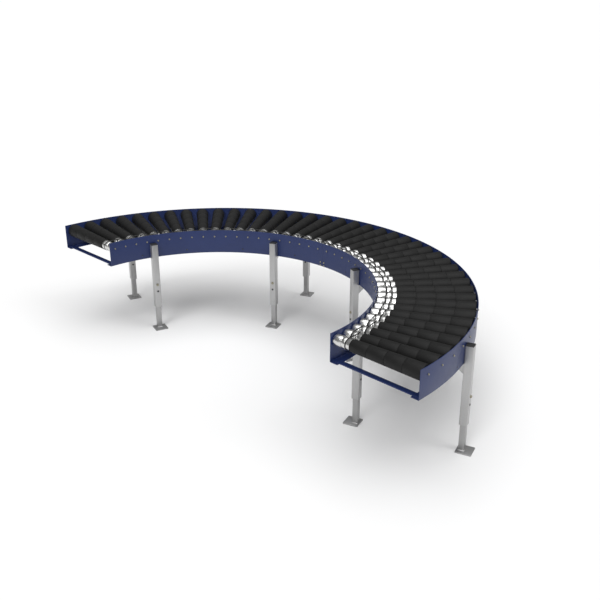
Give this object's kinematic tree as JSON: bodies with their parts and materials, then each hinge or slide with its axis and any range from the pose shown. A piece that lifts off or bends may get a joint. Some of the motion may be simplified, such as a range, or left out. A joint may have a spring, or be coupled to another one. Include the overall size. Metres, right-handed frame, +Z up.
{
  "type": "roller conveyor curve",
  "caption": "Half-circle roller conveyor curve with tapered rollers between curved side rails on telescopic legs, in two bolted sections.",
  "frame": {"origin": "on the floor, under the middle of the whole; the curve's centre is at x 0, y -0.7075 m", "axes": "+Z up; +X from the first open end to the last; +Y from the open ends towards the middle of the curve"},
  "size_m": [2.8494, 1.415, 0.61],
  "materials": {
    "rail_paint": "navy powder coat, satin with a light orange peel",
    "roller_sleeve": "grey-black moulded sleeve, matte with fine turned rings",
    "post_steel": "galvanised, satin with a faint spangle",
    "foot_steel": "galvanised, satin, a little duller than the posts",
    "roller_tube": "bright zinc, rolled grooves",
    "drive_belt": "black round urethane belt, satin",
    "fastener": "yellowish zinc plate",
    "plastic_cap": "black moulded plastic"
  },
  "bodies": {
    "frame": {"inner_rail_1": "rail_paint", "inner_rail_2": "rail_paint", "outer_rail_1": "rail_paint", "outer_rail_2": "rail_paint", "inner_post_1": "post_steel", "inner_post_2": "post_steel", "inner_post_3": "post_steel", "inner_post_4": "post_steel", "outer_post_1": "post_steel", "outer_post_2": "post_steel", "outer_post_3": "post_steel", "outer_post_4": "post_steel"},
    "roller_01": {"roller_01": "roller_sleeve"},
    "roller_02": {"roller_02": "roller_sleeve"},
    "roller_03": {"roller_03": "roller_sleeve"},
    "roller_04": {"roller_04": "roller_sleeve"},
    "roller_05": {"roller_05": "roller_sleeve"},
    "roller_06": {"roller_06": "roller_sleeve"},
    "roller_07": {"roller_07": "roller_sleeve"},
    "roller_08": {"roller_08": "roller_sleeve"},
    "roller_09": {"roller_09": "roller_sleeve"},
    "roller_10": {"roller_10": "roller_sleeve"},
    "roller_11": {"roller_11": "roller_sleeve"},
    "roller_12": {"roller_12": "roller_sleeve"},
    "roller_13": {"roller_13": "roller_sleeve"},
    "roller_14": {"roller_14": "roller_sleeve"},
    "roller_15": {"roller_15": "roller_sleeve"},
    "roller_16": {"roller_16": "roller_sleeve"},
    "roller_17": {"roller_17": "roller_sleeve"},
    "roller_18": {"roller_18": "roller_sleeve"},
    "roller_19": {"roller_19": "roller_sleeve"},
    "roller_20": {"roller_20": "roller_sleeve"},
    "roller_21": {"roller_21": "roller_sleeve"},
    "roller_22": {"roller_22": "roller_sleeve"},
    "roller_23": {"roller_23": "roller_sleeve"},
    "roller_24": {"roller_24": "roller_sleeve"},
    "roller_25": {"roller_25": "roller_sleeve"},
    "roller_26": {"roller_26": "roller_sleeve"},
    "roller_27": {"roller_27": "roller_sleeve"},
    "roller_28": {"roller_28": "roller_sleeve"},
    "roller_29": {"roller_29": "roller_sleeve"},
    "roller_30": {"roller_30": "roller_sleeve"},
    "roller_31": {"roller_31": "roller_sleeve"},
    "roller_32": {"roller_32": "roller_sleeve"},
    "roller_33": {"roller_33": "roller_sleeve"},
    "roller_34": {"roller_34": "roller_sleeve"},
    "roller_35": {"roller_35": "roller_sleeve"},
    "roller_36": {"roller_36": "roller_sleeve"},
    "roller_37": {"roller_37": "roller_sleeve"},
    "roller_38": {"roller_38": "roller_sleeve"},
    "roller_39": {"roller_39": "roller_sleeve"},
    "roller_40": {"roller_40": "roller_sleeve"},
    "inner_foot_1": {"inner_foot_1": "foot_steel"},
    "inner_foot_2": {"inner_foot_2": "foot_steel"},
    "inner_foot_3": {"inner_foot_3": "foot_steel"},
    "inner_foot_4": {"inner_foot_4": "foot_steel"},
    "outer_foot_1": {"outer_foot_1": "foot_steel"},
    "outer_foot_2": {"outer_foot_2": "foot_steel"},
    "outer_foot_3": {"outer_foot_3": "foot_steel"},
    "outer_foot_4": {"outer_foot_4": "foot_steel"}
  },
  "joints": [
    {"name": "roller_01_spin", "type": "hinge", "parent": "frame", "child": "roller_01", "pos_m": [0, -0.7075, 0.57], "axis": [-0.9992, 0.0393, 0], "continuous": true},
    {"name": "roller_02_spin", "type": "hinge", "parent": "frame", "child": "roller_02", "pos_m": [0, -0.7075, 0.57], "axis": [-0.9931, 0.1175, 0], "continuous": true},
    {"name": "roller_03_spin", "type": "hinge", "parent": "frame", "child": "roller_03", "pos_m": [0, -0.7075, 0.57], "axis": [-0.9808, 0.1951, 0], "continuous": true},
    {"name": "roller_04_spin", "type": "hinge", "parent": "frame", "child": "roller_04", "pos_m": [0, -0.7075, 0.57], "axis": [-0.9625, 0.2714, 0], "continuous": true},
    {"name": "roller_05_spin", "type": "hinge", "parent": "frame", "child": "roller_05", "pos_m": [0, -0.7075, 0.57], "axis": [-0.9382, 0.3461, 0], "continuous": true},
    {"name": "roller_06_spin", "type": "hinge", "parent": "frame", "child": "roller_06", "pos_m": [0, -0.7075, 0.57], "axis": [-0.9081, 0.4187, 0], "continuous": true},
    {"name": "roller_07_spin", "type": "hinge", "parent": "frame", "child": "roller_07", "pos_m": [0, -0.7075, 0.57], "axis": [-0.8725, 0.4886, 0], "continuous": true},
    {"name": "roller_08_spin", "type": "hinge", "parent": "frame", "child": "roller_08", "pos_m": [0, -0.7075, 0.57], "axis": [-0.8315, 0.5556, 0], "continuous": true},
    {"name": "roller_09_spin", "type": "hinge", "parent": "frame", "child": "roller_09", "pos_m": [0, -0.7075, 0.57], "axis": [-0.7853, 0.6191, 0], "continuous": true},
    {"name": "roller_10_spin", "type": "hinge", "parent": "frame", "child": "roller_10", "pos_m": [0, -0.7075, 0.57], "axis": [-0.7343, 0.6788, 0], "continuous": true},
    {"name": "roller_11_spin", "type": "hinge", "parent": "frame", "child": "roller_11", "pos_m": [0, -0.7075, 0.57], "axis": [-0.6788, 0.7343, 0], "continuous": true},
    {"name": "roller_12_spin", "type": "hinge", "parent": "frame", "child": "roller_12", "pos_m": [0, -0.7075, 0.57], "axis": [-0.6191, 0.7853, 0], "continuous": true},
    {"name": "roller_13_spin", "type": "hinge", "parent": "frame", "child": "roller_13", "pos_m": [0, -0.7075, 0.57], "axis": [-0.5556, 0.8315, 0], "continuous": true},
    {"name": "roller_14_spin", "type": "hinge", "parent": "frame", "child": "roller_14", "pos_m": [0, -0.7075, 0.57], "axis": [-0.4886, 0.8725, 0], "continuous": true},
    {"name": "roller_15_spin", "type": "hinge", "parent": "frame", "child": "roller_15", "pos_m": [0, -0.7075, 0.57], "axis": [-0.4187, 0.9081, 0], "continuous": true},
    {"name": "roller_16_spin", "type": "hinge", "parent": "frame", "child": "roller_16", "pos_m": [0, -0.7075, 0.57], "axis": [-0.3461, 0.9382, 0], "continuous": true},
    {"name": "roller_17_spin", "type": "hinge", "parent": "frame", "child": "roller_17", "pos_m": [0, -0.7075, 0.57], "axis": [-0.2714, 0.9625, 0], "continuous": true},
    {"name": "roller_18_spin", "type": "hinge", "parent": "frame", "child": "roller_18", "pos_m": [0, -0.7075, 0.57], "axis": [-0.1951, 0.9808, 0], "continuous": true},
    {"name": "roller_19_spin", "type": "hinge", "parent": "frame", "child": "roller_19", "pos_m": [0, -0.7075, 0.57], "axis": [-0.1175, 0.9931, 0], "continuous": true},
    {"name": "roller_20_spin", "type": "hinge", "parent": "frame", "child": "roller_20", "pos_m": [0, -0.7075, 0.57], "axis": [-0.0393, 0.9992, 0], "continuous": true},
    {"name": "roller_21_spin", "type": "hinge", "parent": "frame", "child": "roller_21", "pos_m": [0, -0.7075, 0.57], "axis": [0.0393, 0.9992, 0], "continuous": true},
    {"name": "roller_22_spin", "type": "hinge", "parent": "frame", "child": "roller_22", "pos_m": [0, -0.7075, 0.57], "axis": [0.1175, 0.9931, 0], "continuous": true},
    {"name": "roller_23_spin", "type": "hinge", "parent": "frame", "child": "roller_23", "pos_m": [0, -0.7075, 0.57], "axis": [0.1951, 0.9808, 0], "continuous": true},
    {"name": "roller_24_spin", "type": "hinge", "parent": "frame", "child": "roller_24", "pos_m": [0, -0.7075, 0.57], "axis": [0.2714, 0.9625, 0], "continuous": true},
    {"name": "roller_25_spin", "type": "hinge", "parent": "frame", "child": "roller_25", "pos_m": [0, -0.7075, 0.57], "axis": [0.3461, 0.9382, 0], "continuous": true},
    {"name": "roller_26_spin", "type": "hinge", "parent": "frame", "child": "roller_26", "pos_m": [0, -0.7075, 0.57], "axis": [0.4187, 0.9081, 0], "continuous": true},
    {"name": "roller_27_spin", "type": "hinge", "parent": "frame", "child": "roller_27", "pos_m": [0, -0.7075, 0.57], "axis": [0.4886, 0.8725, 0], "continuous": true},
    {"name": "roller_28_spin", "type": "hinge", "parent": "frame", "child": "roller_28", "pos_m": [0, -0.7075, 0.57], "axis": [0.5556, 0.8315, 0], "continuous": true},
    {"name": "roller_29_spin", "type": "hinge", "parent": "frame", "child": "roller_29", "pos_m": [0, -0.7075, 0.57], "axis": [0.6191, 0.7853, 0], "continuous": true},
    {"name": "roller_30_spin", "type": "hinge", "parent": "frame", "child": "roller_30", "pos_m": [0, -0.7075, 0.57], "axis": [0.6788, 0.7343, 0], "continuous": true},
    {"name": "roller_31_spin", "type": "hinge", "parent": "frame", "child": "roller_31", "pos_m": [0, -0.7075, 0.57], "axis": [0.7343, 0.6788, 0], "continuous": true},
    {"name": "roller_32_spin", "type": "hinge", "parent": "frame", "child": "roller_32", "pos_m": [0, -0.7075, 0.57], "axis": [0.7853, 0.6191, 0], "continuous": true},
    {"name": "roller_33_spin", "type": "hinge", "parent": "frame", "child": "roller_33", "pos_m": [0, -0.7075, 0.57], "axis": [0.8315, 0.5556, 0], "continuous": true},
    {"name": "roller_34_spin", "type": "hinge", "parent": "frame", "child": "roller_34", "pos_m": [0, -0.7075, 0.57], "axis": [0.8725, 0.4886, 0], "continuous": true},
    {"name": "roller_35_spin", "type": "hinge", "parent": "frame", "child": "roller_35", "pos_m": [0, -0.7075, 0.57], "axis": [0.9081, 0.4187, 0], "continuous": true},
    {"name": "roller_36_spin", "type": "hinge", "parent": "frame", "child": "roller_36", "pos_m": [0, -0.7075, 0.57], "axis": [0.9382, 0.3461, 0], "continuous": true},
    {"name": "roller_37_spin", "type": "hinge", "parent": "frame", "child": "roller_37", "pos_m": [0, -0.7075, 0.57], "axis": [0.9625, 0.2714, 0], "continuous": true},
    {"name": "roller_38_spin", "type": "hinge", "parent": "frame", "child": "roller_38", "pos_m": [0, -0.7075, 0.57], "axis": [0.9808, 0.1951, 0], "continuous": true},
    {"name": "roller_39_spin", "type": "hinge", "parent": "frame", "child": "roller_39", "pos_m": [0, -0.7075, 0.57], "axis": [0.9931, 0.1175, 0], "continuous": true},
    {"name": "roller_40_spin", "type": "hinge", "parent": "frame", "child": "roller_40", "pos_m": [0, -0.7075, 0.57], "axis": [0.9992, 0.0393, 0], "continuous": true},
    {"name": "inner_foot_1_slide", "type": "slide", "parent": "frame", "child": "inner_foot_1", "axis": [0, 0, -1], "range_m": [-0.12, 0.1]},
    {"name": "inner_foot_2_slide", "type": "slide", "parent": "frame", "child": "inner_foot_2", "axis": [0, 0, -1], "range_m": [-0.12, 0.1]},
    {"name": "inner_foot_3_slide", "type": "slide", "parent": "frame", "child": "inner_foot_3", "axis": [0, 0, -1], "range_m": [-0.12, 0.1]},
    {"name": "inner_foot_4_slide", "type": "slide", "parent": "frame", "child": "inner_foot_4", "axis": [0, 0, -1], "range_m": [-0.12, 0.1]},
    {"name": "outer_foot_1_slide", "type": "slide", "parent": "frame", "child": "outer_foot_1", "axis": [0, 0, -1], "range_m": [-0.12, 0.1]},
    {"name": "outer_foot_2_slide", "type": "slide", "parent": "frame", "child": "outer_foot_2", "axis": [0, 0, -1], "range_m": [-0.12, 0.1]},
    {"name": "outer_foot_3_slide", "type": "slide", "parent": "frame", "child": "outer_foot_3", "axis": [0, 0, -1], "range_m": [-0.12, 0.1]},
    {"name": "outer_foot_4_slide", "type": "slide", "parent": "frame", "child": "outer_foot_4", "axis": [0, 0, -1], "range_m": [-0.12, 0.1]}
  ],
  "couplings": [
    {"joint": "roller_02_spin", "follows": "roller_01_spin", "ratio": 1},
    {"joint": "roller_03_spin", "follows": "roller_01_spin", "ratio": 1},
    {"joint": "roller_04_spin", "follows": "roller_01_spin", "ratio": 1},
    {"joint": "roller_05_spin", "follows": "roller_01_spin", "ratio": 1},
    {"joint": "roller_06_spin", "follows": "roller_01_spin", "ratio": 1},
    {"joint": "roller_07_spin", "follows": "roller_01_spin", "ratio": 1},
    {"joint": "roller_08_spin", "follows": "roller_01_spin", "ratio": 1},
    {"joint": "roller_09_spin", "follows": "roller_01_spin", "ratio": 1},
    {"joint": "roller_10_spin", "follows": "roller_01_spin", "ratio": 1},
    {"joint": "roller_11_spin", "follows": "roller_01_spin", "ratio": 1},
    {"joint": "roller_12_spin", "follows": "roller_01_spin", "ratio": 1},
    {"joint": "roller_13_spin", "follows": "roller_01_spin", "ratio": 1},
    {"joint": "roller_14_spin", "follows": "roller_01_spin", "ratio": 1},
    {"joint": "roller_15_spin", "follows": "roller_01_spin", "ratio": 1},
    {"joint": "roller_16_spin", "follows": "roller_01_spin", "ratio": 1},
    {"joint": "roller_17_spin", "follows": "roller_01_spin", "ratio": 1},
    {"joint": "roller_18_spin", "follows": "roller_01_spin", "ratio": 1},
    {"joint": "roller_19_spin", "follows": "roller_01_spin", "ratio": 1},
    {"joint": "roller_20_spin", "follows": "roller_01_spin", "ratio": 1},
    {"joint": "roller_21_spin", "follows": "roller_01_spin", "ratio": 1},
    {"joint": "roller_22_spin", "follows": "roller_01_spin", "ratio": 1},
    {"joint": "roller_23_spin", "follows": "roller_01_spin", "ratio": 1},
    {"joint": "roller_24_spin", "follows": "roller_01_spin", "ratio": 1},
    {"joint": "roller_25_spin", "follows": "roller_01_spin", "ratio": 1},
    {"joint": "roller_26_spin", "follows": "roller_01_spin", "ratio": 1},
    {"joint": "roller_27_spin", "follows": "roller_01_spin", "ratio": 1},
    {"joint": "roller_28_spin", "follows": "roller_01_spin", "ratio": 1},
    {"joint": "roller_29_spin", "follows": "roller_01_spin", "ratio": 1},
    {"joint": "roller_30_spin", "follows": "roller_01_spin", "ratio": 1},
    {"joint": "roller_31_spin", "follows": "roller_01_spin", "ratio": 1},
    {"joint": "roller_32_spin", "follows": "roller_01_spin", "ratio": 1},
    {"joint": "roller_33_spin", "follows": "roller_01_spin", "ratio": 1},
    {"joint": "roller_34_spin", "follows": "roller_01_spin", "ratio": 1},
    {"joint": "roller_35_spin", "follows": "roller_01_spin", "ratio": 1},
    {"joint": "roller_36_spin", "follows": "roller_01_spin", "ratio": 1},
    {"joint": "roller_37_spin", "follows": "roller_01_spin", "ratio": 1},
    {"joint": "roller_38_spin", "follows": "roller_01_spin", "ratio": 1},
    {"joint": "roller_39_spin", "follows": "roller_01_spin", "ratio": 1},
    {"joint": "roller_40_spin", "follows": "roller_01_spin", "ratio": 1}
  ]
}
